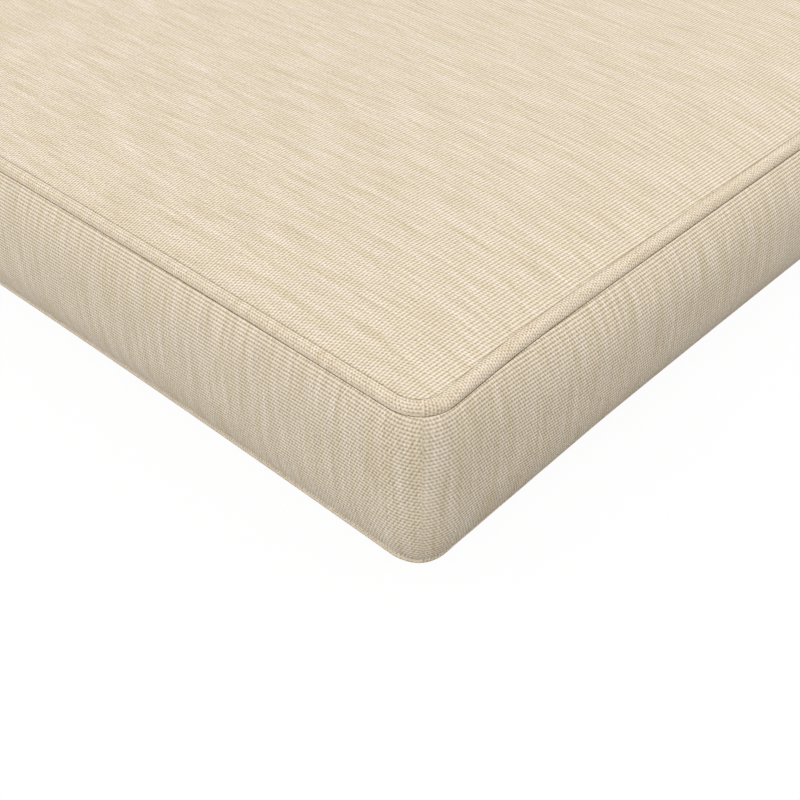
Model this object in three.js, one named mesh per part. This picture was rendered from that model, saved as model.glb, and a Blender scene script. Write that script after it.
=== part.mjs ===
// A boxed chaise lounge cushion lying on its back, in millimetres, +Z up, its length along Y.
// One filled solid carries the crowned top panel, the bulging boxing and the flat underside.
// Two closed rings of piping are sewn into its edges, above and below the boxing.
import * as THREE from 'three';
import { mergeVertices } from 'three/addons/utils/BufferGeometryUtils.js';

// Driving dimensions
const width = 609.6; // across the short end, over the piping at the corners
const length = 1930.4; // along the long side, over the piping at the corners
const edgeHeight = 76.2; // from the rest plane to the top of the upper piping
const pipingRadius = 3.2;
const clearance = 0.3; // between the piping and the cloth that holds it

// How the filling shapes the cloth
const cornerRadius = 13; // of the piping's centre line, seen from above
const endPull = 4; // how far the short ends draw in at their middle
const sidePull = 7.3; // how far the long sides draw in at their middle
const cornerFlare = 3.2; // extra reach of the corners past the long sides
const flareLength = 57;
const cornerBulge = 3.9; // how far the boxing swells past its seams at the corners
const endBulge = 5.2;
const sideBulge = 9.6;
const bulgeRamp = 55; // distance over which the swelling grows away from a corner
const bulgePower = 3.1;
const crownRise = 15.5; // top panel's middle above its edge
const crownLength = 34; // distance over which the panel rises

// Seams and facets
const boxingContact = 10; // degrees below the piping's outer side where the boxing meets it
const panelContact = 125; // degrees round from the outer side where a panel meets the piping
const grooveSteps = 6;
const boxingSteps = 8;
const arcSteps = 7; // facets round one corner
const pipingSides = 8;
const undersideRim = 8; // width of the strip that lifts off the rest plane towards the piping
const sideSteps = [14, 30, 52, 85, 145]; // stations beside each corner
const panelInsets = [5, 12, 22, 36, 56, 90, 160]; // rings of the crowned panel
const stationGap = 210; // most between stations further along a side
const spineShare = 0.95; // share of the panels' long middle line that their rings close on

const halfWidth = width / 2 - pipingRadius; // to the piping's centre line
const halfLength = length / 2 - pipingRadius;
const upperPiping = edgeHeight - pipingRadius; // heights of the two centre lines
const lowerPiping = pipingRadius;
const degree = Math.PI / 180;

// Radius of the groove's corner points, so that its flats stay clear of the piping.
const grooveTurn = (360 - panelContact - boxingContact) * degree;
const grooveRadius = (pipingRadius + clearance) / Math.cos(grooveTurn / grooveSteps / 2);

// Stations along one straight run, from one corner to the next, measured from its middle.
function runStations(half) {
  const rest = Math.ceil((half - sideSteps.at(-1)) / stationGap);
  const stride = (half - sideSteps.at(-1)) / rest;
  const distances = [...sideSteps];
  for (let i = 1; i <= rest; i++) distances.push(sideSteps.at(-1) + i * stride);
  const firstHalf = distances.map((distance) => half - distance);
  const secondHalf = firstHalf.slice(0, -1).reverse().map((place) => -place);
  return [...firstHalf, ...secondHalf];
}

// The sides draw in along their middles, and the long sides also fall away from the corners.
function drawnIn(x, y) {
  const alongWidth = Math.abs(x) / halfWidth;
  const alongLength = Math.abs(y) / halfLength;
  const flare = cornerFlare * (1 - Math.exp((alongLength - 1) * halfLength / flareLength));
  const side = sidePull * (1 - alongLength ** 4) + flare;
  const end = endPull * (1 - alongWidth ** 2);
  return [x * (1 - side / halfWidth), y * (1 - end / halfLength)];
}

// The boxing's swelling, which is least at a corner and grows along both faces.
function swelling(cornerDistance, sideShare) {
  const face = sideBulge * sideShare + endBulge * (1 - sideShare);
  const grown = 1 - Math.exp(-((cornerDistance / bulgeRamp) ** 2));
  return cornerBulge + (face - cornerBulge) * grown;
}

// Stations of the piping's centre line, anticlockwise: place, outward direction and swelling.
function outlineStations() {
  const stations = [];
  const runX = halfWidth - cornerRadius;
  const runY = halfLength - cornerRadius;
  const add = (x, y, angle, cornerDistance) => {
    const [px, py] = drawnIn(x, y);
    const bulge = swelling(cornerDistance, Math.cos(angle) ** 2);
    stations.push({ x: px, y: py, nx: Math.cos(angle), ny: Math.sin(angle), bulge });
  };
  for (let corner = 0; corner < 4; corner++) {
    const signX = corner === 0 || corner === 3 ? 1 : -1;
    const signY = corner < 2 ? 1 : -1;
    for (let i = 0; i <= arcSteps; i++) {
      const angle = (corner + i / arcSteps) * 90 * degree;
      const fromMiddle = Math.abs(i / arcSteps - 0.5) * 90 * degree * cornerRadius;
      const x = signX * runX + cornerRadius * Math.cos(angle);
      const y = signY * runY + cornerRadius * Math.sin(angle);
      add(x, y, angle, fromMiddle);
    }
    const face = (corner + 1) * 90 * degree;
    const alongX = corner % 2 === 0;
    const run = alongX ? runX : runY;
    for (const place of runStations(run)) {
      const fromCorner = run - Math.abs(place) + 45 * degree * cornerRadius;
      if (alongX) add(signX * place, signY * halfLength, face, fromCorner);
      else add(signX * halfWidth, signY * place, face, fromCorner);
    }
  }
  return stations;
}

// Joins equal rings of points into one closed body; points that fall together are merged.
function closedBody(rings, wrapped) {
  const count = rings[0].length;
  const positions = rings.flat(2);
  const triangles = [];
  const bands = wrapped ? rings.length : rings.length - 1;
  for (let ring = 0; ring < bands; ring++) {
    const lower = ring * count;
    const upper = ((ring + 1) % rings.length) * count;
    for (let i = 0; i < count; i++) {
      const next = (i + 1) % count;
      triangles.push(lower + i, lower + next, upper + next);
      triangles.push(lower + i, upper + next, upper + i);
    }
  }
  const loose = new THREE.BufferGeometry();
  loose.setAttribute('position', new THREE.Float32BufferAttribute(positions, 3));
  loose.setIndex(triangles);
  const merged = mergeVertices(loose, 1e-3);
  const kept = [];
  for (let i = 0; i < merged.index.count; i += 3) {
    const [a, b, c] = merged.index.array.slice(i, i + 3);
    if (a !== b && b !== c && c !== a) kept.push(a, b, c);
  }
  merged.setIndex(kept);
  merged.computeVertexNormals();
  return merged;
}

// Points of the groove round one ring of piping, between two angles from its outer side.
function groove(height, from, to) {
  return Array.from({ length: grooveSteps + 1 }, (_, i) => {
    const angle = (from + (to - from) * i / grooveSteps) * degree;
    return { out: grooveRadius * Math.cos(angle), up: height + grooveRadius * Math.sin(angle) };
  });
}

// The boxing from its lower seam to its upper seam: level share to the given power, subtracted
// from the full swelling.
function boxing(bulge) {
  const seam = grooveRadius * Math.cos(boxingContact * degree);
  const drop = grooveRadius * Math.sin(boxingContact * degree);
  const bottom = lowerPiping + drop;
  const middle = edgeHeight / 2;
  return Array.from({ length: boxingSteps - 1 }, (_, i) => {
    const level = Math.sin(((i + 1) / boxingSteps - 0.5) * Math.PI);
    const out = seam + bulge * (1 - Math.abs(level) ** bulgePower);
    return { out, up: middle + level * (middle - bottom) };
  });
}

// The filled cushion, as rings from the middle of the underside to the middle of the top.
function cushionGeometry(stations) {
  const edgeOut = grooveRadius * Math.cos(panelContact * degree);
  const panelEdge = upperPiping + grooveRadius * Math.sin(panelContact * degree);
  const rise = (distance) => 1 - Math.exp(-Math.max(distance, 0) / crownLength);
  const place = ({ x, y, nx, ny }, out, up) => [x + nx * out, y + ny * out, up];
  const inset = (station, distance, height) => {
    const [x, y] = place(station, edgeOut, 0);
    const px = x * (1 - distance / halfWidth);
    const py = y * (1 - distance / halfLength);
    return [px, py, height(px, py)];
  };
  const spine = ({ y }, height) => {
    const end = (halfLength - halfWidth) * spineShare;
    const py = THREE.MathUtils.clamp(y * (1 - halfWidth / halfLength), -end, end);
    return [0, py, height(0, py)];
  };
  const crown = (x, y) => {
    const across = rise(halfWidth + edgeOut - Math.abs(x));
    const along = rise(halfLength + edgeOut - Math.abs(y));
    return panelEdge + crownRise * across * along;
  };
  const flat = () => 0;
  const columns = stations.map((station) => [
    spine(station, flat),
    inset(station, undersideRim, flat),
    ...[
      ...groove(lowerPiping, 360 - panelContact, boxingContact),
      ...boxing(station.bulge),
      ...groove(upperPiping, -boxingContact, panelContact - 360),
    ].map(({ out, up }) => place(station, out, up)),
    ...panelInsets.map((distance) => inset(station, distance, crown)),
    spine(station, crown),
  ]);
  const rings = columns[0].map((_, ring) => columns.map((column) => column[ring]));
  return closedBody(rings, false);
}

// One closed ring of piping: a round section carried along the stations.
function pipingGeometry(stations, height) {
  const rings = Array.from({ length: pipingSides }, (_, i) => {
    const angle = i / pipingSides * 360 * degree;
    const out = pipingRadius * Math.cos(angle);
    const up = height + pipingRadius * Math.sin(angle);
    return stations.map(({ x, y, nx, ny }) => [x + nx * out, y + ny * out, up]);
  });
  return closedBody(rings, true);
}

function clothMaterial(color) {
  return new THREE.MeshStandardMaterial({ color, roughness: 0.92, metalness: 0 });
}

function namedMesh(name, geometry, material) {
  const mesh = new THREE.Mesh(geometry, material);
  mesh.name = name;
  return mesh;
}

const stations = outlineStations();
const group = new THREE.Group();
group.add(
  namedMesh('cushion', cushionGeometry(stations), clothMaterial('#dccbae')),
  namedMesh('piping_top', pipingGeometry(stations, upperPiping), clothMaterial('#e0d0b6')),
  namedMesh('piping_bottom', pipingGeometry(stations, lowerPiping), clothMaterial('#e0d0b6')),
);

export default group;
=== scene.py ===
import math

import bmesh
import bpy
import numpy as np
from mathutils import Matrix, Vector


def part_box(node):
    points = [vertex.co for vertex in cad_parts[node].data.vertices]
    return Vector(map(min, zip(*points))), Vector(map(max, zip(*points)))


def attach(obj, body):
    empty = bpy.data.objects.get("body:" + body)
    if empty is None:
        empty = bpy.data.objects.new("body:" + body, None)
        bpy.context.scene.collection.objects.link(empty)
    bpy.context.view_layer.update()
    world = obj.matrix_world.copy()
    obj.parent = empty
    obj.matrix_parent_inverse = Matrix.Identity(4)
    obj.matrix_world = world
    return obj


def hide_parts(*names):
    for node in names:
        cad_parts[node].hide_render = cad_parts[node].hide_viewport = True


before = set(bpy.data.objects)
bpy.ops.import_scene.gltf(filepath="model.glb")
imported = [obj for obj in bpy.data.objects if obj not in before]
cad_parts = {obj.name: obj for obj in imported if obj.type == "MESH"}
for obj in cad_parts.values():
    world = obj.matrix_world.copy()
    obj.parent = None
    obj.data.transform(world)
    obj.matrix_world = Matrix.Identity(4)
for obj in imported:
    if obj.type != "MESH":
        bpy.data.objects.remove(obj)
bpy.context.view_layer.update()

mm = 0.001
topLow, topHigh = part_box("piping_top")
bottomLow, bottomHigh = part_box("piping_bottom")
nearCorner = Vector((topHigh.x, topLow.y, bottomLow.z))      # of the box round both pipings
mergeWithin = 0.001 * mm                                     # points closer than this become one


def linear(hexColour):
    # an sRGB hex value as linear red, green, blue and 1, by the sRGB curve
    parts = [int(hexColour[i:i + 2], 16) / 255 for i in (1, 3, 5)]
    return [c / 12.92 if c <= 0.04045 else ((c + 0.055) / 1.055) ** 2.4 for c in parts] + [1.0]


def addNode(tree, kind, inputs=None, **settings):
    # one node with its settings; an input is a plain value or another node's output
    made = tree.nodes.new(kind)
    for name, value in settings.items():
        setattr(made, name, value)
    for socket, value in (inputs or {}).items():
        if isinstance(value, bpy.types.NodeSocket):
            tree.links.new(value, made.inputs[socket])
        else:
            made.inputs[socket].default_value = value
    return made


def newMaterial(name):
    # a material with an empty node tree, and that tree
    made = bpy.data.materials.new(name)
    made.use_nodes = True
    made.node_tree.nodes.clear()
    return made, made.node_tree


def meshPiece(name, points, quads, clothPlaces, relief, material):
    # points in mm, an n by 3 array; quads an m by 4 array; clothPlaces the place of each face corner on
    # the cloth, in mm along its ribs and across them; relief three values a quad, how far its ribs and
    # its floats stand out as shares of the weave's own, and how its floats lean
    mesh = bpy.data.meshes.new(name)
    mesh.from_pydata((points * mm).tolist(), [], quads.tolist())
    layer = mesh.uv_layers.new(name="clothPlace")
    layer.uv.foreach_set("vector", clothPlaces.astype(np.float32).ravel())
    store = mesh.attributes.new("relief", "FLOAT_VECTOR", "FACE")
    store.data.foreach_set("vector", relief.astype(np.float32).ravel())
    merged = bmesh.new()
    merged.from_mesh(mesh)
    bmesh.ops.remove_doubles(merged, verts=merged.verts, dist=mergeWithin)
    bmesh.ops.dissolve_degenerate(merged, edges=merged.edges, dist=mergeWithin)
    merged.to_mesh(mesh)
    merged.free()
    mesh.polygons.foreach_set("use_smooth", np.ones(len(mesh.polygons), bool))
    mesh.materials.append(material)
    mesh.update()
    piece = bpy.data.objects.new(name, mesh)
    bpy.context.scene.collection.objects.link(piece)
    return piece


# The shape that the filling gives, in mm and degrees
shape = {
    # the middle line of the piping, seen from above
    "cornerRadius": 13.0,
    "endPull": 4.0,            # how far the short ends draw in at their middle
    "endPower": 2,             # power of the place along them: 2 is an arch, and more is flatter
    "sidePull": 7.3,           # the same for the long sides
    "sidePower": 4,
    "cornerFlare": 2.75,       # extra reach of the corners past the long sides
    "flareLength": 40.0,       # distance from the end over which it goes
    "stationGap": 5.0,         # between stations along the straight runs
    "arcStations": 15,         # round a corner
    "fitRounds": 3,            # rounds in which the outline is fitted to its reach in the frame

    # how far the lower seam stands out past the upper one
    "lowerPoint": 0.45,        # at a corner
    "pointPower": 4,           # how sharp that point is
    "lowerReach": 0.3,         # along the long sides
    "lowerSwing": 1.05,        # how much more it does so near a corner
    "swingPlace": 62.0,        # where that is, from the end
    "swingLength": 30.0,       # and how far it spreads
    "cornerNip": 0.4,          # how far it goes in again beside the corner's point
    "nipPlace": 16.0,
    "nipLength": 9.0,
    "turnPower": 6,            # power by which a face's own values fade as a corner turns

    # how far the boxing swells past its seams
    "cornerBulge": 3.9,
    "endBulge": 5.2,
    "sideBulge": 9.6,
    "endRamp": 55.0,           # distances over which it grows away from a corner
    "sideRamp": 55.0,
    "middleSide": 1.1,         # how much more it swells towards the middle of a long side
    "middleEnd": 3.0,          # and of a short end
    "middleRamp": 210.0,       # distance over which that grows
    "bulgePower": 3.1,         # power of the height in its section: 2 is an arch, and more is fuller
    "seamTuck": 0.7,           # how far the stitches draw its edges in
    "tuckLength": 1.3,         # height over which they do

    # the top panel
    "crownRise": 14.8,         # its middle above its edge
    "sideCrown": 28.0,         # distances over which it rises, from the long sides and from the short ends
    "endCrown": 39.0,

    # where cloth meets the piping, in degrees round it, and the gap that is left to its sewn edge
    "boxingContact": 14.0,     # boxing, below the outer side of the upper piping
    "lowerContact": 14.0,      # and above the outer side of the lower piping
    "lowerEndContact": 28.0,   # which is further round on the short ends
    "sideContact": 128.0,      # panels, round from the outer side, on the long sides
    "endContact": 104.0,       # and on the short ends
    "boxingGap": 0.4,
    "sideGap": 0.04,           # of the panels, on the long sides
    "endGap": 0.08,            # and on the short ends
}

pipingRadius = (topHigh.z - topLow.z) / 2 / mm
upperLine = (topHigh.z + topLow.z) / 2 / mm          # height of the upper piping's middle line
lowerLine = (bottomHigh.z + bottomLow.z) / 2 / mm
pipingReach = np.array([topHigh.x - topLow.x, topHigh.y - topLow.y]) / mm


def growing(distance, length):
    # from 0 to 1 within about two lengths: 1 - exp(-(distance/length)^2)
    return 1 - np.exp(-(distance / length) ** 2)


def hump(distance, place, length):
    # 1 at the place and nothing away from it: exp(-((distance - place)/length)^2)
    return np.exp(-((distance - place) / length) ** 2)


def drawnIn(x, y, halfWidth, halfLength):
    # each long side moves in by sidePull*(1 - (y/halfLength)^sidePower) plus
    # cornerFlare*growing(distance from the end, flareLength), and each short end by
    # endPull*(1 - (x/halfWidth)^endPower)
    alongWidth = np.abs(x) / halfWidth
    alongLength = np.abs(y) / halfLength
    flare = shape["cornerFlare"] * growing((1 - alongLength) * halfLength, shape["flareLength"])
    side = shape["sidePull"] * (1 - alongLength ** shape["sidePower"]) + flare
    end = shape["endPull"] * (1 - alongWidth ** shape["endPower"])
    return x * (1 - side / halfWidth), y * (1 - end / halfLength)


def outline(halfWidth, halfLength):
    # the piping's middle line, anticlockwise from the far right corner: a quarter circle at each corner
    # and straight runs between them, all drawn in. Arrays with one value a station: x and y; nx and ny,
    # the outward direction; gap, the distance from the corner's middle; face, even on the long sides and
    # odd on the short ends; and bulge, how far the boxing swells, with each face's own values in
    # cornerBulge + (bulge - cornerBulge)*growing(gap, ramp) + middle*growing(gap, middleRamp)
    radius = shape["cornerRadius"]
    runX, runY = halfWidth - radius, halfLength - radius
    xs, ys, turns, gaps, faces = [], [], [], [], []
    for corner, (signX, signY) in enumerate([(1, 1), (-1, 1), (-1, -1), (1, -1)]):
        share = np.linspace(0, 1, shape["arcStations"])
        turn = (corner + share) * math.pi / 2
        xs.append(signX * runX + radius * np.cos(turn))
        ys.append(signY * runY + radius * np.sin(turn))
        turns.append(turn)
        gaps.append(np.abs(share - 0.5) * math.pi / 2 * radius)
        faces.append(np.where(share < 0.5, corner, corner + 1))
        run, alongX = (runX, True) if corner % 2 == 0 else (runY, False)
        steps = int(2 * run / shape["stationGap"])
        place = np.linspace(run, -run, steps)[1:-1]
        xs.append(signX * place if alongX else np.full(place.shape, signX * halfWidth))
        ys.append(np.full(place.shape, signY * halfLength) if alongX else signY * place)
        turns.append(np.full(place.shape, (corner + 1) * math.pi / 2))
        gaps.append(run - np.abs(place) + math.pi / 4 * radius)
        faces.append(np.full(place.shape, corner + 1))
    x, y, turn, gap, face = (np.concatenate(part) for part in (xs, ys, turns, gaps, faces))
    x, y = drawnIn(x, y, halfWidth, halfLength)
    sideShare = np.cos(turn) ** 2
    full = shape["sideBulge"] * sideShare + shape["endBulge"] * (1 - sideShare)
    ramp = shape["sideRamp"] * sideShare + shape["endRamp"] * (1 - sideShare)
    more = shape["middleSide"] * sideShare + shape["middleEnd"] * (1 - sideShare)
    more = more * growing(gap, shape["middleRamp"])
    bulge = shape["cornerBulge"] + (full - shape["cornerBulge"]) * growing(gap, ramp) + more
    return {"x": x, "y": y, "nx": np.cos(turn), "ny": np.sin(turn), "gap": gap, "face": face % 4,
            "bulge": bulge}


def runAlong(line, out):
    # the distance round a line that lies out mm beyond the piping's middle line, to each station and at
    # last to the first one again
    x, y = line["x"] + line["nx"] * out, line["y"] + line["ny"] * out
    step = np.hypot(np.diff(x, append=x[0]), np.diff(y, append=y[0]))
    return np.concatenate([[0], np.cumsum(step)])


def fittedOutline():
    # the outline whose outer reach is the reach of the piping in the frame, with where cloth meets the
    # piping. The lower seam stands out past it on the long sides by lowerReach*growing(d, flareLength)
    # + lowerSwing*hump(d, swingPlace, swingLength) - cornerNip*hump(d, nipPlace, nipLength), d the
    # distance from the end, and at a corner by lowerPoint*|sin(2 turn)|^pointPower
    half = pipingReach / 2 - pipingRadius
    for _ in range(shape["fitRounds"]):
        line = outline(*half)
        reach = np.array([np.ptp(line["x"] + line["nx"] * pipingRadius),
                          np.ptp(line["y"] + line["ny"] * pipingRadius)])
        half = half + (pipingReach - reach) / 2
    line["half"] = half
    sideShare = line["nx"] ** 2
    line["contact"] = shape["endContact"] + (shape["sideContact"] - shape["endContact"]) * sideShare
    line["panelGap"] = shape["endGap"] + (shape["sideGap"] - shape["endGap"]) * sideShare
    furtherRound = shape["lowerEndContact"] - shape["lowerContact"]
    line["lowerContact"] = shape["lowerContact"] + furtherRound * line["ny"] ** shape["turnPower"]
    fromEnd = half[1] - np.abs(line["y"])
    swing = shape["lowerSwing"] * hump(fromEnd, shape["swingPlace"], shape["swingLength"])
    steady = shape["lowerReach"] * growing(fromEnd, shape["flareLength"])
    nip = shape["cornerNip"] * hump(fromEnd, shape["nipPlace"], shape["nipLength"])
    point = shape["lowerPoint"] * (2 * np.abs(line["nx"] * line["ny"])) ** shape["pointPower"]
    line["lowerOut"] = (swing + steady - nip) * line["nx"] ** shape["turnPower"] + point
    return line


line = fittedOutline()
print("outline:", len(line["x"]), "stations, half sizes", line["half"].round(2))


# Patterns in mm; reliefs as parts of a height that runs from about 0 in a gap to about 1 on a float
clothWeave = {
    "ribPitch": 1.587,                 # from rib to rib
    "floatPitch": 1.43,                # from one raised float to the next along a rib
    "ribShare": 0.3,                   # how much of the relief is ribs, and how much is floats
    "floatShare": 0.32,
    "floatShift": 0.7,                 # radians that the floats lie off the middle of their rib
    "floatLeast": 0.5,                 # the weakest float and the strongest, as shares of floatShare
    "floatMost": 1.9,
    "floatPower": 2.0,                 # of the chance of each float: the higher, the fewer strong ones
    "wobble": 0.35,                    # how far the threads wander
    "wobbleLength": 8.3333,            # and the length of one such bend
    "fuzzSize": 0.90909,               # of the yarn
    "fuzz": 0.3,                       # and how much it adds to the relief and takes from it
    "softSteps": 2.0,                  # octaves of the wobble, the fuzz and the slubs
    "white": "#efe3d2",                # the palest slubs and the most tan
    "tan": "#e5d7bd",
    "slubSize": (3.8462, 38.462),      # width, and length across the ribs
    "slubSpread": (0.28, 0.72),        # places in their noise of the most tan and of the palest
    "slubRoughness": 0.6,              # how much the smaller streaks inside a slub show
    "threadSize": (0.83333, 28.571),   # width, and the length over which a thread stays alike
    "threadSteps": 1.0,                # octaves of the threads
    "threadTint": (0.3, 0.33, 0.38),   # how much one thread differs from the next in red, green and blue
    "gap": "#bdb4a4",                  # painted shade: what the gaps between the floats leave of that colour
    "shadeEndsAt": 0.85,                    # height from which on none of that painted shade is lost
    "bumpStrength": 0.35,
    "bumpDepth": 0.3,                  # mm that the whole height stands for
    "roughness": 0.9,
    "ior": 1.5,
    "specular": 0.2,
    "sheen": 0.1,
}


def wovenCloth(name, weave):
    # solution-dyed acrylic in a ribbed plain weave: matt, with broad pale floats on each rib, painted shade
    # in the small gaps between the ribs, and slubby threads across them that run whiter or more tan for
    # some centimetres
    middle = 0.5                       # of a noise's range, and of the relief
    material, tree = newMaterial(name)
    place = addNode(tree, "ShaderNodeUVMap", uv_map="clothPlace").outputs[0]
    wander = addNode(tree, "ShaderNodeTexNoise", {"Vector": place, "Scale": 1 / weave["wobbleLength"],
                                                 "Detail": weave["softSteps"]},
                     noise_dimensions="2D").outputs["Color"]
    shift = addNode(tree, "ShaderNodeVectorMath", {0: wander, 1: (middle,) * 3}, operation="SUBTRACT")
    moved = addNode(tree, "ShaderNodeVectorMath",
                    {0: shift.outputs[0], 1: (weave["wobble"],) * 3, 2: place}, operation="MULTIPLY_ADD")

    # relief = 0.5 + ribShare cos(2 pi v/ribPitch) + fuzz
    # + floatShare strength (cos a cos b - lean sin a sin b)
    # with a = 2 pi u/floatPitch, b = pi v/ribPitch + floatShift, and the strength drawn at random for each
    # cell between the zeros of the cosines
    turns = (2 * math.pi / weave["floatPitch"], math.pi / weave["ribPitch"], 0)
    phases = addNode(tree, "ShaderNodeVectorMath",
                     {0: moved.outputs[0], 1: turns, 2: (0, weave["floatShift"], 0)},
                     operation="MULTIPLY_ADD").outputs[0]
    waves = addNode(tree, "ShaderNodeVectorMath", {0: phases, 1: (math.pi / 2,) * 3},
                    operation="ADD").outputs[0]
    cosines = addNode(tree, "ShaderNodeVectorMath", {0: waves}, operation="SINE").outputs[0]
    cosA, cosB, _ = addNode(tree, "ShaderNodeSeparateXYZ", {0: cosines}).outputs
    sines = addNode(tree, "ShaderNodeVectorMath", {0: phases}, operation="SINE").outputs[0]
    sinA, sinB, _ = addNode(tree, "ShaderNodeSeparateXYZ", {0: sines}).outputs
    cells = addNode(tree, "ShaderNodeVectorMath", {0: waves, 1: (1 / math.pi,) * 3},
                    operation="MULTIPLY").outputs[0]
    cells = addNode(tree, "ShaderNodeVectorMath", {0: cells}, operation="FLOOR").outputs[0]
    chance = addNode(tree, "ShaderNodeTexWhiteNoise", {"Vector": cells}, noise_dimensions="2D").outputs[0]
    chance = addNode(tree, "ShaderNodeMath", {0: chance, 1: weave["floatPower"]},
                     operation="POWER").outputs[0]
    strength = addNode(tree, "ShaderNodeMapRange", {"Value": chance, "To Min": weave["floatLeast"],
                                                   "To Max": weave["floatMost"]}).outputs[0]
    ribPhase = addNode(tree, "ShaderNodeSeparateXYZ", {0: moved.outputs[0]}).outputs[1]
    ribPhase = addNode(tree, "ShaderNodeMath", {0: ribPhase, 1: 2 * math.pi / weave["ribPitch"]},
                       operation="MULTIPLY").outputs[0]
    rib = addNode(tree, "ShaderNodeMath", {0: ribPhase}, operation="COSINE").outputs[0]
    relief = addNode(tree, "ShaderNodeAttribute", attribute_name="relief").outputs["Vector"]
    ribRelief, floatRelief, lean = addNode(tree, "ShaderNodeSeparateXYZ", {0: relief}).outputs
    ribs = addNode(tree, "ShaderNodeMath", {0: rib, 1: ribRelief}, operation="MULTIPLY").outputs[0]
    ribs = addNode(tree, "ShaderNodeMath", {0: ribs, 1: weave["ribShare"], 2: middle},
                   operation="MULTIPLY_ADD").outputs[0]
    upright = addNode(tree, "ShaderNodeMath", {0: cosA, 1: cosB}, operation="MULTIPLY").outputs[0]
    slanted = addNode(tree, "ShaderNodeMath", {0: sinA, 1: sinB}, operation="MULTIPLY").outputs[0]
    slanted = addNode(tree, "ShaderNodeMath", {0: slanted, 1: lean}, operation="MULTIPLY").outputs[0]
    floats = addNode(tree, "ShaderNodeMath", {0: upright, 1: slanted}, operation="SUBTRACT").outputs[0]
    strength = addNode(tree, "ShaderNodeMath", {0: strength, 1: floatRelief},
                       operation="MULTIPLY").outputs[0]
    floats = addNode(tree, "ShaderNodeMath", {0: floats, 1: strength}, operation="MULTIPLY").outputs[0]
    fuzz = addNode(tree, "ShaderNodeTexNoise", {"Vector": place, "Scale": 1 / weave["fuzzSize"],
                                               "Detail": weave["softSteps"]},
                   noise_dimensions="2D").outputs[0]
    fuzz = addNode(tree, "ShaderNodeMapRange", {"Value": fuzz, "To Min": -weave["fuzz"],
                                               "To Max": weave["fuzz"]}).outputs[0]
    woven = addNode(tree, "ShaderNodeMath", {0: floats, 1: weave["floatShare"], 2: ribs},
                    operation="MULTIPLY_ADD").outputs[0]
    height = addNode(tree, "ShaderNodeMath", {0: woven, 1: fuzz}, operation="ADD").outputs[0]

    # broad slubs run from tan to white, and single threads differ by threadTint on top of that
    slubTurns = tuple(1 / size for size in weave["slubSize"]) + (1,)
    slubPlace = addNode(tree, "ShaderNodeMapping", {"Vector": place, "Scale": slubTurns})
    slub = addNode(tree, "ShaderNodeTexNoise",
                   {"Vector": slubPlace.outputs[0], "Scale": 1.0, "Detail": weave["softSteps"],
                    "Roughness": weave["slubRoughness"]}, noise_dimensions="2D").outputs[0]
    tone = addNode(tree, "ShaderNodeValToRGB", {0: slub})
    for element, at, shade in zip(tone.color_ramp.elements, weave["slubSpread"], ("tan", "white")):
        element.position = at
        element.color = linear(weave[shade])
    threadTurns = tuple(1 / size for size in weave["threadSize"]) + (1,)
    threadPlace = addNode(tree, "ShaderNodeMapping", {"Vector": place, "Scale": threadTurns})
    thread = addNode(tree, "ShaderNodeTexNoise",
                     {"Vector": threadPlace.outputs[0], "Scale": 1.0, "Detail": weave["threadSteps"]},
                     noise_dimensions="2D").outputs[0]
    thread = addNode(tree, "ShaderNodeMath", {0: thread, 1: middle}, operation="SUBTRACT").outputs[0]
    thread = addNode(tree, "ShaderNodeVectorMath", {0: thread, 1: weave["threadTint"], 2: (1, 1, 1)},
                     operation="MULTIPLY_ADD").outputs[0]
    # painted shade: the colour falls towards the gap colour where the relief is low, as shade in the
    # weave's hollows
    paintedGapShade = addNode(tree, "ShaderNodeValToRGB", {0: height})
    paintedGapShade.color_ramp.interpolation = "EASE"
    paintedGapShade.color_ramp.elements[0].color = linear(weave["gap"])
    paintedGapShade.color_ramp.elements[1].position = weave["shadeEndsAt"]
    woven = addNode(tree, "ShaderNodeVectorMath", {0: tone.outputs[0], 1: paintedGapShade.outputs[0]},
                    operation="MULTIPLY").outputs[0]
    colour = addNode(tree, "ShaderNodeVectorMath", {0: woven, 1: thread}, operation="MULTIPLY").outputs[0]
    bump = addNode(tree, "ShaderNodeBump", {"Strength": weave["bumpStrength"],
                                           "Distance": weave["bumpDepth"] * mm, "Height": height})
    shader = addNode(tree, "ShaderNodeBsdfPrincipled",
                     {"Base Color": colour, "Roughness": weave["roughness"], "IOR": weave["ior"],
                      "Specular IOR Level": weave["specular"], "Sheen Weight": weave["sheen"],
                      "Normal": bump.outputs[0]})
    addNode(tree, "ShaderNodeOutputMaterial", {0: shader.outputs[0]})
    return material


# On the cord the same cloth shows closer, lower ribs and lighter painted shade in its gaps
pipingWeave = dict(clothWeave, ribPitch=1.3, ribShare=0.24, gap="#c3b7a6")
cushionCloth = wovenCloth("wovenAcrylic", clothWeave)
pipingCloth = wovenCloth("pipingAcrylic", pipingWeave)
print("cloth: ribs", clothWeave["ribPitch"], "mm apart, on the piping", pipingWeave["ribPitch"], "mm")


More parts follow.
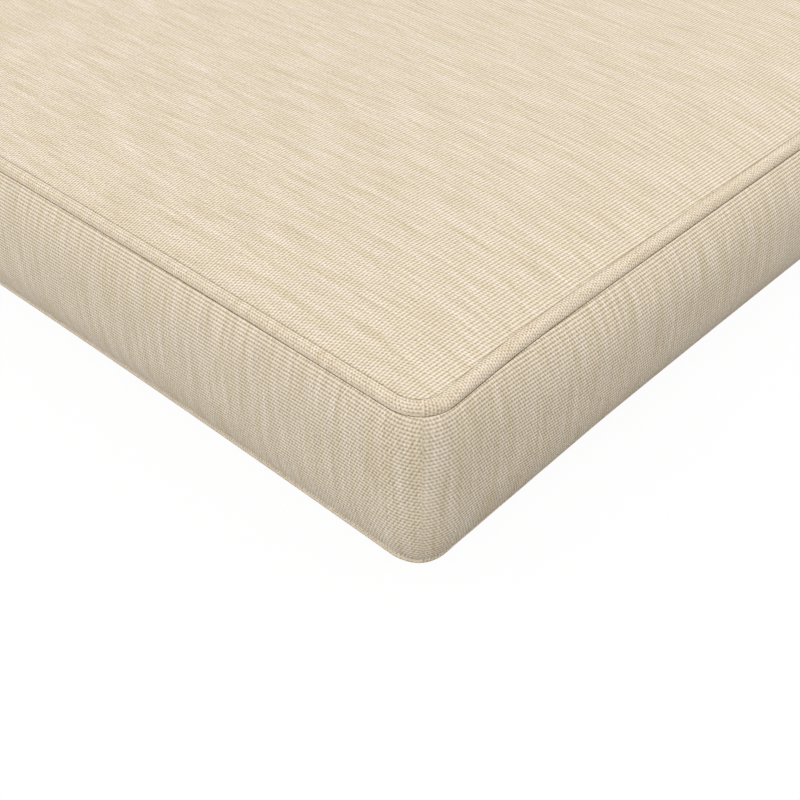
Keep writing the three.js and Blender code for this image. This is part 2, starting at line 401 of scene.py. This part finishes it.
cushionRings = {
    "grooveSteps": 9,          # steps round the piping
    "boxingSteps": 28,         # and up the boxing
    # mm from a panel's edge to each of its rings
    "topInsets": [0.8, 2, 3.5, 5.5, 8, 11, 15, 20, 26, 33, 41, 50, 61, 75, 92, 115, 145, 180, 220, 262],
    "bottomInsets": [8, 20, 45, 100, 200],
    "spineShare": 0.95,        # share of a panel's long middle line that its rings close on

    # relief of the ribs and of the floats, as shares of the weave's own, and the lean of the floats
    "panelRelief": (0.87, 0.57, -0.55),
    "sideRelief": (1.07, 0.79, 0.55),
    "endRelief": (1.07, 1.07, -0.55),
    "endFade": (0.17, 0.62, 0),       # how much of that goes along the short ends, away from the corners
    "fadeLength": 45.0,               # mm over which it goes
    "cornerRelief": 0.62,             # share that is left at a corner, where the cloth is pulled flat

    # how the cloth lies, in mm
    "panelDraw": 1.07,         # how many times closer the ribs lie on the panels
    "cornerDip": 1.6,          # how far the ribs of the boxing dip at a corner
    "dipLength": 11.0,         # distance over which that goes, and the flat cloth with it
    "cornerSlip": 0.35,        # how far the weave slips where one side's cloth meets the next
}


def gapCurve(height, start, end, startGap, endGap):
    # points round the piping, between two angles from its outer side, at its radius plus a gap that runs
    # evenly from the first value to the last; angles may be one a station
    share = np.linspace(0, 1, cushionRings["grooveSteps"] + 1)[:, None]
    angle = np.radians(start + (end - start) * share) * np.ones_like(line["x"])
    radius = pipingRadius + startGap + (endGap - startGap) * share
    return radius * np.cos(angle), height + radius * np.sin(angle)


def boxingCurve():
    # from the lower seam to the upper: seam + seamTuck*(1 - exp(-distance from the nearer seam/tuckLength))
    # + bulge*(1 - |level|^bulgePower), level the sine of an even sweep from -1 to 1
    low, high = np.radians(line["lowerContact"]), math.radians(shape["boxingContact"])
    radius = pipingRadius + shape["boxingGap"]
    bottom = lowerLine + radius * np.sin(low)
    top = upperLine - radius * math.sin(high)
    sweep = np.linspace(-0.5, 0.5, cushionRings["boxingSteps"] + 1)[1:-1] * math.pi
    level = np.sin(sweep)[:, None]
    up = (bottom + top) / 2 + level * (top - bottom) / 2
    fromSeam = np.minimum(up - bottom, top - up)
    untucked = shape["seamTuck"] * (1 - np.exp(-fromSeam / shape["tuckLength"]))
    share = (level + 1) / 2
    seam = radius * (np.cos(low) + (math.cos(high) - np.cos(low)) * share) + line["lowerOut"] * (1 - share)
    out = seam + untucked + line["bulge"] * (1 - np.abs(level) ** shape["bulgePower"])
    return out, np.broadcast_to(up, out.shape)


def crownHeight(x, y):
    # crownRise times 1 - exp(-distance from an edge/its crown length), for the sides and for the ends
    lengths = (shape["sideCrown"], shape["endCrown"])
    rise = [1 - np.exp(-np.maximum(half - np.abs(v), 0) / length)
            for half, v, length in zip(line["half"], (x, y), lengths)]
    return shape["crownRise"] * rise[0] * rise[1]


def cushionSurface():
    # rings from the middle of the underside, over the boxing, to the middle of the top, one column a
    # station; then the first ring of the wall, which has both grooves and the boxing, and the one after it
    x, y, nx, ny, contact = (line[key] for key in ("x", "y", "nx", "ny", "contact"))
    halfWidth, halfLength = line["half"]
    radius = pipingRadius + line["panelGap"]
    edge = radius * np.cos(np.radians(contact))
    edgeX, edgeY = x + nx * edge, y + ny * edge
    panelEdge = upperLine + radius * np.sin(np.radians(contact))

    def inset(distance, top):
        # the edge of a panel, shrunk by the distance on each side
        px, py = edgeX * (1 - distance / halfWidth), edgeY * (1 - distance / halfLength)
        rise = crownHeight(px, py) - crownHeight(edgeX, edgeY)
        return np.stack([px, py, panelEdge + rise if top else np.zeros_like(px)], -1)

    def spine(top):
        # the long middle line of a panel, on which its innermost ring closes
        end = (halfLength - halfWidth) * cushionRings["spineShare"]
        px, py = np.zeros_like(y), np.clip(y * (1 - halfWidth / halfLength), -end, end)
        middle = upperLine + pipingRadius * math.sin(math.radians(shape["sideContact"]))
        return np.stack([px, py, middle + crownHeight(px, py) if top else np.zeros_like(px)], -1)

    lowerOut, lowerUp = gapCurve(lowerLine, 360 - contact, line["lowerContact"],
                                 line["panelGap"], shape["boxingGap"])
    boxingOut, boxingUp = boxingCurve()
    upperOut, upperUp = gapCurve(upperLine, -shape["boxingContact"], contact - 360,
                                 shape["boxingGap"], line["panelGap"])
    out = np.concatenate([lowerOut + line["lowerOut"], boxingOut, upperOut])
    up = np.concatenate([lowerUp, boxingUp, upperUp])
    wall = np.stack([x + nx * out, y + ny * out, up], -1)
    bottom = [spine(False)] + [inset(d, False) for d in reversed(cushionRings["bottomInsets"])]
    top = [inset(d, True) for d in cushionRings["topInsets"]] + [spine(True)]
    return np.concatenate([np.stack(bottom), wall, np.stack(top)]), len(bottom), len(bottom) + len(wall)


def gridQuads(rings, stations, closed=False):
    # quads between neighbouring rings and stations, the last station joined to the first, and the last
    # ring to the first too where the grid is closed
    rows = rings if closed else rings - 1
    ring, station = np.meshgrid(np.arange(rows), np.arange(stations), indexing="ij")
    above, after = (ring + 1) % rings, (station + 1) % stations
    corners = [(ring, station), (ring, after), (above, after), (above, station)]
    return np.stack([(r * stations + s).ravel() for r, s in corners], -1)


def cushionPlaces(surface, isWall):
    # cloth places of each quad's corners: panels by their plan, ribs along Y and drawn closer by panelDraw;
    # the boxing by the distance round the outline and up its own curve, where its ribs dip to each corner
    # by cornerDip*exp(-gap/dipLength) and the cloth slips by cornerSlip from one face to the next
    rings, stations = surface.shape[:2]
    wrapped = np.concatenate([surface, surface[:, :1]], 1)
    rise = np.linalg.norm(np.diff(wrapped, axis=0), axis=-1)
    height = np.concatenate([np.zeros((1, stations + 1)), np.cumsum(rise, 0)])
    height = height - height[np.argmax(isWall)]
    low, high = np.arange(rings - 1)[:, None], np.arange(1, rings)[:, None]
    left, right = np.arange(stations)[None], np.arange(1, stations + 1)[None]
    distance = runAlong(line, pipingRadius + shape["endBulge"] / 2)
    dip = cushionRings["cornerDip"] * np.exp(-line["gap"] / cushionRings["dipLength"])
    dip = np.append(dip, dip[0])
    slip = cushionRings["cornerSlip"] * line["face"]
    places = []
    for ring, station in [(low, left), (low, right), (high, right), (high, left)]:
        plan = [wrapped[ring, station, 1], wrapped[ring, station, 0] * cushionRings["panelDraw"]]
        run = distance[station] + slip
        up = height[ring, station] + dip[station] + slip
        boxing = [np.broadcast_to(run, up.shape), up]
        places.append(np.where(isWall[:, None, None], np.stack(boxing, -1), np.stack(plan, -1)))
    return np.stack(places, 2).reshape(-1, 2)


def cushionRelief(isWall):
    # three values a quad: the panels' own; on the boxing its face's, of which a corner leaves
    # 1 - (1 - cornerRelief)*exp(-gap/dipLength), and a short end 1 - endFade*growing(gap, fadeLength)
    flat = 1 - (1 - cushionRings["cornerRelief"]) * np.exp(-line["gap"] / cushionRings["dipLength"])
    gone = growing(line["gap"], cushionRings["fadeLength"])[:, None]
    endRelief = cushionRings["endRelief"] * (1 - gone * cushionRings["endFade"])
    onEnd = (line["face"] % 2 == 1)[:, None]
    boxing = np.where(onEnd, endRelief, cushionRings["sideRelief"])
    boxing = boxing * np.stack([flat, flat, np.ones_like(flat)], -1)
    return np.where(isWall[:, None, None], boxing, cushionRings["panelRelief"]).reshape(-1, 3)


# The filling presses the free cloth out: the boxing, and the top panel as far as the flat face of the foam
filling = {
    "foamFace": 92.0,          # mm from the seam at which the foam's flat face holds the panel
    "ringGap": 4.5,            # least distance between the simulated cloth's rings, in mm
    "stationStep": 2,          # it has every second station
    "frames": 20,              # that the cloth is given to swell
    "furthest": 1.0,           # mm that a point may move
    "smoothing": 10,           # passes that even the moves out
    "cloth": {"use_pressure": True, "uniform_pressure_force": 1.0, "mass": 0.1, "quality": 6,
              "tension_stiffness": 40.0, "compression_stiffness": 40.0, "shear_stiffness": 13.0,
              "bending_stiffness": 5.0, "tension_damping": 25.0, "compression_damping": 25.0,
              "air_damping": 5.0},
}


def pressedOut(points, held):
    # points in mm as rings by stations; Blender's cloth with pressure inside and no gravity, sewn fast at
    # the held rings; returns the points at its last frame
    count, stations = points.shape[:2]
    mesh = bpy.data.meshes.new("cover")
    mesh.from_pydata((points.reshape(-1, 3) * mm).tolist(), [], gridQuads(count, stations).tolist())
    cover = bpy.data.objects.new("cover", mesh)
    bpy.context.scene.collection.objects.link(cover)
    sewn = np.nonzero(np.repeat(held, stations))[0].tolist()
    cover.vertex_groups.new(name="sewn").add(sewn, 1.0, "REPLACE")
    cloth = cover.modifiers.new("filling", "CLOTH")
    for name, value in filling["cloth"].items():
        setattr(cloth.settings, name, value)
    cloth.settings.effector_weights.gravity = 0
    cloth.settings.vertex_group_mass = "sewn"
    cloth.point_cache.frame_start, cloth.point_cache.frame_end = 1, filling["frames"]
    scene = bpy.context.scene
    before = scene.frame_current
    for moment in range(1, filling["frames"] + 1):
        scene.frame_set(moment)
    result = cover.evaluated_get(bpy.context.evaluated_depsgraph_get()).to_mesh()
    moved = np.empty(points.size)
    result.vertices.foreach_get("co", moved)
    bpy.data.objects.remove(cover)
    bpy.data.meshes.remove(mesh)
    scene.frame_set(before)
    return moved.reshape(points.shape) / mm


def filledOut(surface, isFree):
    # every free point moves as the simulated cloth did, by furthest*tanh(length/furthest); the moves are
    # spread between the simulated points in straight lines and then evened out
    step = np.linalg.norm(np.diff(surface, axis=0), axis=-1).mean(1)
    along = np.append(0, np.cumsum(step))
    change = np.nonzero(np.diff(isFree))[0]      # the last ring before each change between held and free
    spaced = np.unique(along // filling["ringGap"], return_index=True)[1]
    rings = np.unique(np.concatenate([spaced, change, change + 1]))
    rings = rings[(rings >= change[0]) & (rings <= change[-1] + 1)]
    count = surface.shape[1]
    stations = np.arange(0, count, filling["stationStep"])
    start = surface[rings][:, stations]
    move = pressedOut(start, ~isFree[rings]) - start
    length = np.maximum(np.linalg.norm(move, axis=-1, keepdims=True), 1e-6)      # never 0, to divide by it
    move = move / length * filling["furthest"] * np.tanh(length / filling["furthest"])

    lower = np.searchsorted(rings, np.arange(len(surface)), side="right").clip(1, len(rings) - 1) - 1
    span = along[rings[lower + 1]] - along[rings[lower]]
    share = ((along - along[rings[lower]]) / span).clip(0, 1)[:, None, None]
    move = move[lower] * (1 - share) + move[lower + 1] * share
    before = np.arange(count) // filling["stationStep"]
    after = (before + 1) % len(stations)
    share = ((np.arange(count) - stations[before]) / filling["stationStep"])[:, None]
    move = move[:, before] * (1 - share) + move[:, after] * share
    for _ in range(filling["smoothing"]):
        move = (np.roll(move, 1, 1) + 2 * move + np.roll(move, -1, 1)) / 4
        move[1:-1] = (move[:-2] + 2 * move[1:-1] + move[2:]) / 4
        move[~isFree] = 0
    print("filling: moves up to", np.linalg.norm(move, axis=-1).max().round(2), "mm")
    return surface + move


surface, wallStart, wallEnd = cushionSurface()
grooveSteps = cushionRings["grooveSteps"]
rimRings = np.searchsorted(cushionRings["topInsets"], filling["foamFace"])
freeRings = np.zeros(len(surface), bool)
freeRings[wallStart + grooveSteps + 1:wallEnd - grooveSteps - 1] = True
freeRings[wallEnd:wallEnd + rimRings] = True
surface = filledOut(surface, freeRings)
quads = gridQuads(*surface.shape[:2])
ringOrder = np.arange(len(surface) - 1)
toFarSide = grooveSteps // 2           # steps from a panel's edge to the inner side of the piping
isWall = (ringOrder >= wallStart + toFarSide) & (ringOrder < wallEnd - 1 - toFarSide)
cushion = meshPiece("filled_cushion", surface.reshape(-1, 3), quads, cushionPlaces(surface, isWall),
                    cushionRelief(isWall), cushionCloth)
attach(cushion, "root")
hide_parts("cushion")
print("cushion:", len(quads), "quads")


pipingMake = {
    "sides": 20,                       # of its round section
    "relief": (1.0, 1.0, 0.0),         # of the ribs and of the floats, and the lean of the floats
}


def pipingRing(name, height, further, material):
    # a round section of pipingRadius carried along the outline, further out by the given distance; ribs
    # lie along the cord on the short ends and round it on the long sides
    sides, stations = pipingMake["sides"], len(line["x"])
    angle = np.linspace(0, 2 * math.pi, sides + 1)
    x, y, nx, ny = (line[key] for key in ("x", "y", "nx", "ny"))
    out = (pipingRadius * np.cos(angle[:-1]))[:, None] + further
    up = np.broadcast_to((height + pipingRadius * np.sin(angle[:-1]))[:, None], (sides, stations))
    points = np.stack([x + nx * out, y + ny * out, up], -1).reshape(-1, 3)
    quads = gridQuads(sides, stations, closed=True)
    row, column = np.arange(sides)[:, None], np.arange(stations)[None]
    onEnd = (line["face"] % 2 == 1)[None]
    distance = runAlong(line, pipingRadius / 2)
    places = []
    for r, c in [(row, column), (row, column + 1), (row + 1, column + 1), (row + 1, column)]:
        run, around = distance[c], pipingRadius * angle[r]
        places.append(np.stack([np.where(onEnd, run, around), np.where(onEnd, around, run)], -1))
    places = np.stack(places, 2).reshape(-1, 2)
    relief = np.tile(pipingMake["relief"], (len(quads), 1))
    return meshPiece(name, points, quads, places, relief, material)


for name, node, height, further in [("upper_piping", "piping_top", upperLine, 0),
                                    ("lower_piping", "piping_bottom", lowerLine, line["lowerOut"])]:
    piping = pipingRing(name, height, further, pipingCloth)
    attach(piping, "root")
    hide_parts(node)
print("piping: 2 rings")


studio = {
    "floorSide": 14.0,         # metres
    "floorGlow": 0.95,         # share of the floor that shines by itself, so that shadows stay faint
    "floorColour": "#f9f9f9",
    "white": "#ffffff",
    # degrees of elevation, brightness
    "sky": [(-90, 0.0), (-30, 0.04), (-8, 0.16), (0, 0.42), (19, 1.02), (42, 1.25), (70, 0.94), (90, 1.23)],
    "skyStrength": 1.06,       # times these
    # direction from the near corner, watts
    "softboxes": [((-0.24, -0.91, -0.34), 45.0), ((0.97, 0.1, 0.12), 21.5)],
    "softboxDistance": 3.0,    # metres
    "softboxSize": 4.0,
}


def makeFloor():
    # painted board: matt, nearly white and lit evenly, so that only a faint shadow shows on it
    side = studio["floorSide"] / 2
    corners = [(-side, -side, 0), (side, -side, 0), (side, side, 0), (-side, side, 0)]
    mesh = bpy.data.meshes.new("floor")
    mesh.from_pydata(corners, [], [(0, 1, 2, 3)])
    floor = bpy.data.objects.new("floor", mesh)
    bpy.context.scene.collection.objects.link(floor)
    material, tree = newMaterial("paleFloor")
    matt = addNode(tree, "ShaderNodeBsdfDiffuse", {"Color": linear(studio["floorColour"])})
    glow = addNode(tree, "ShaderNodeEmission", {"Color": linear(studio["white"]), "Strength": 1.0})
    mixed = addNode(tree, "ShaderNodeMixShader",
                    {0: studio["floorGlow"], 1: matt.outputs[0], 2: glow.outputs[0]})
    addNode(tree, "ShaderNodeOutputMaterial", {0: mixed.outputs[0]})
    mesh.materials.append(material)
    for kind in ("visible_diffuse", "visible_glossy", "visible_transmission", "visible_shadow"):
        setattr(floor, kind, False)       # it is seen but throws no light up at the cloth


def makeSky():
    # brightness by elevation, as the light of a room; the backdrop itself is plain white
    world = bpy.data.worlds.new("studioSky")
    bpy.context.scene.world = world
    world.use_nodes = True
    tree = world.node_tree
    tree.nodes.clear()
    direction = addNode(tree, "ShaderNodeTexCoord").outputs["Generated"]
    height = addNode(tree, "ShaderNodeSeparateXYZ", {0: direction}).outputs[2]
    share = addNode(tree, "ShaderNodeMapRange",
                    {"Value": height, "From Min": -1.0, "From Max": 1.0}).outputs[0]
    ramp = addNode(tree, "ShaderNodeValToRGB", {0: share})
    elements = ramp.color_ramp.elements
    while len(elements) < len(studio["sky"]):
        elements.new(0.5)                 # its place is set below
    headroom = 2                          # a ramp's colours end at 1, so they are divided by this
    for element, (elevation, value) in zip(elements, studio["sky"]):
        element.position = (math.sin(math.radians(elevation)) + 1) / 2
        element.color = (value / headroom,) * 3 + (1,)
    sky = addNode(tree, "ShaderNodeBackground",
                  {"Color": ramp.outputs[0], "Strength": headroom * studio["skyStrength"]})
    white = addNode(tree, "ShaderNodeBackground", {"Color": linear(studio["white"]), "Strength": 1.0})
    seen = addNode(tree, "ShaderNodeLightPath").outputs["Is Camera Ray"]
    mixed = addNode(tree, "ShaderNodeMixShader", {0: seen, 1: sky.outputs[0], 2: white.outputs[0]})
    addNode(tree, "ShaderNodeOutputWorld", {0: mixed.outputs[0]})


def makeSoftbox(direction, power):
    # a round area light that shines on the near corner from the given direction
    light = bpy.data.lights.new("softbox", "AREA")
    light.shape = "DISK"
    light.size = studio["softboxSize"]
    light.energy = power
    box = bpy.data.objects.new("softbox", light)
    direction = Vector(direction).normalized()
    box.location = nearCorner + direction * studio["softboxDistance"]
    box.rotation_mode = "QUATERNION"
    box.rotation_quaternion = direction.to_track_quat("Z", "Y")
    box.visible_camera = False
    bpy.context.scene.collection.objects.link(box)


cameraView = {
    "azimuth": 43.01,          # degrees round from the near short end towards the right long side
    "elevation": 38.75,        # degrees above level
    "fieldOfView": 33.238,     # degrees from side to side
    "fromCorner": (230.11, -257.76, 361.65),     # mm from the near corner
    "clip": (0.01, 50.0),      # metres
}


def makeCamera():
    # it looks along the azimuth and the elevation from its place beyond the near corner
    data = bpy.data.cameras.new("camera")
    data.sensor_fit = "HORIZONTAL"
    data.angle = math.radians(cameraView["fieldOfView"])
    data.clip_start, data.clip_end = cameraView["clip"]
    camera = bpy.data.objects.new("camera", data)
    turn, lift = math.radians(cameraView["azimuth"]), math.radians(cameraView["elevation"])
    back = Vector((math.sin(turn) * math.cos(lift), -math.cos(turn) * math.cos(lift), math.sin(lift)))
    camera.location = nearCorner + Vector(cameraView["fromCorner"]) * mm
    camera.rotation_mode = "QUATERNION"
    camera.rotation_quaternion = (-back).to_track_quat("-Z", "Y")
    bpy.context.scene.collection.objects.link(camera)
    bpy.context.scene.camera = camera


makeFloor()
makeSky()
for direction, power in studio["softboxes"]:
    makeSoftbox(direction, power)
makeCamera()
bpy.context.scene.view_settings.view_transform = "Standard"
print("studio: floor, sky,", len(studio["softboxes"]), "softboxes and camera")

bpy.context.view_layer.update()
print("scene ready")
